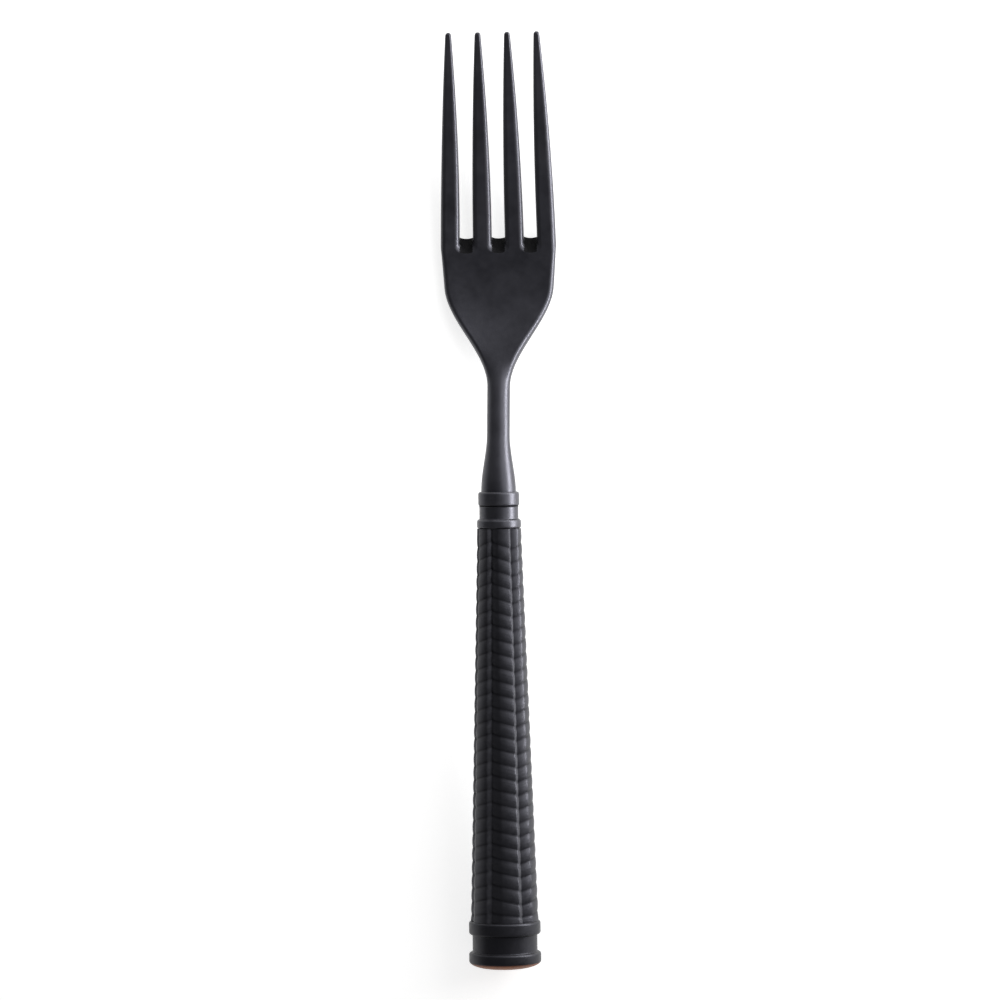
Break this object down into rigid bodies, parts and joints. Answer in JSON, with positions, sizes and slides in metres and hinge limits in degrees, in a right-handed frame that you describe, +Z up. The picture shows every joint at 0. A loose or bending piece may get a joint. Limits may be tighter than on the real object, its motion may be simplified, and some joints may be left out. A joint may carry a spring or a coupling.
{
  "type": "salad fork",
  "caption": "Black table fork with slim tapered tines, a narrow round neck, a ringed collar and a tapered round handle in a plait relief with a flared end cap.",
  "frame": {"origin": "middle of the fork's outline, on the table that the fork lies on", "axes": "+Y along the fork toward the tine tips, +X to the right seen from above, +Z up from the table, face of the fork up"},
  "size_m": [0.0224, 0.1802, 0.0141],
  "materials": {
    "black_steel": "satin",
    "black_resin": "satin",
    "cement": "matte"
  },
  "bodies": {
    "root": {"fork_head": "black_steel", "front_collar": "black_steel", "grip_sleeve": "black_resin", "tang_cement": "cement", "end_cap": "black_resin"}
  },
  "joints": []
}
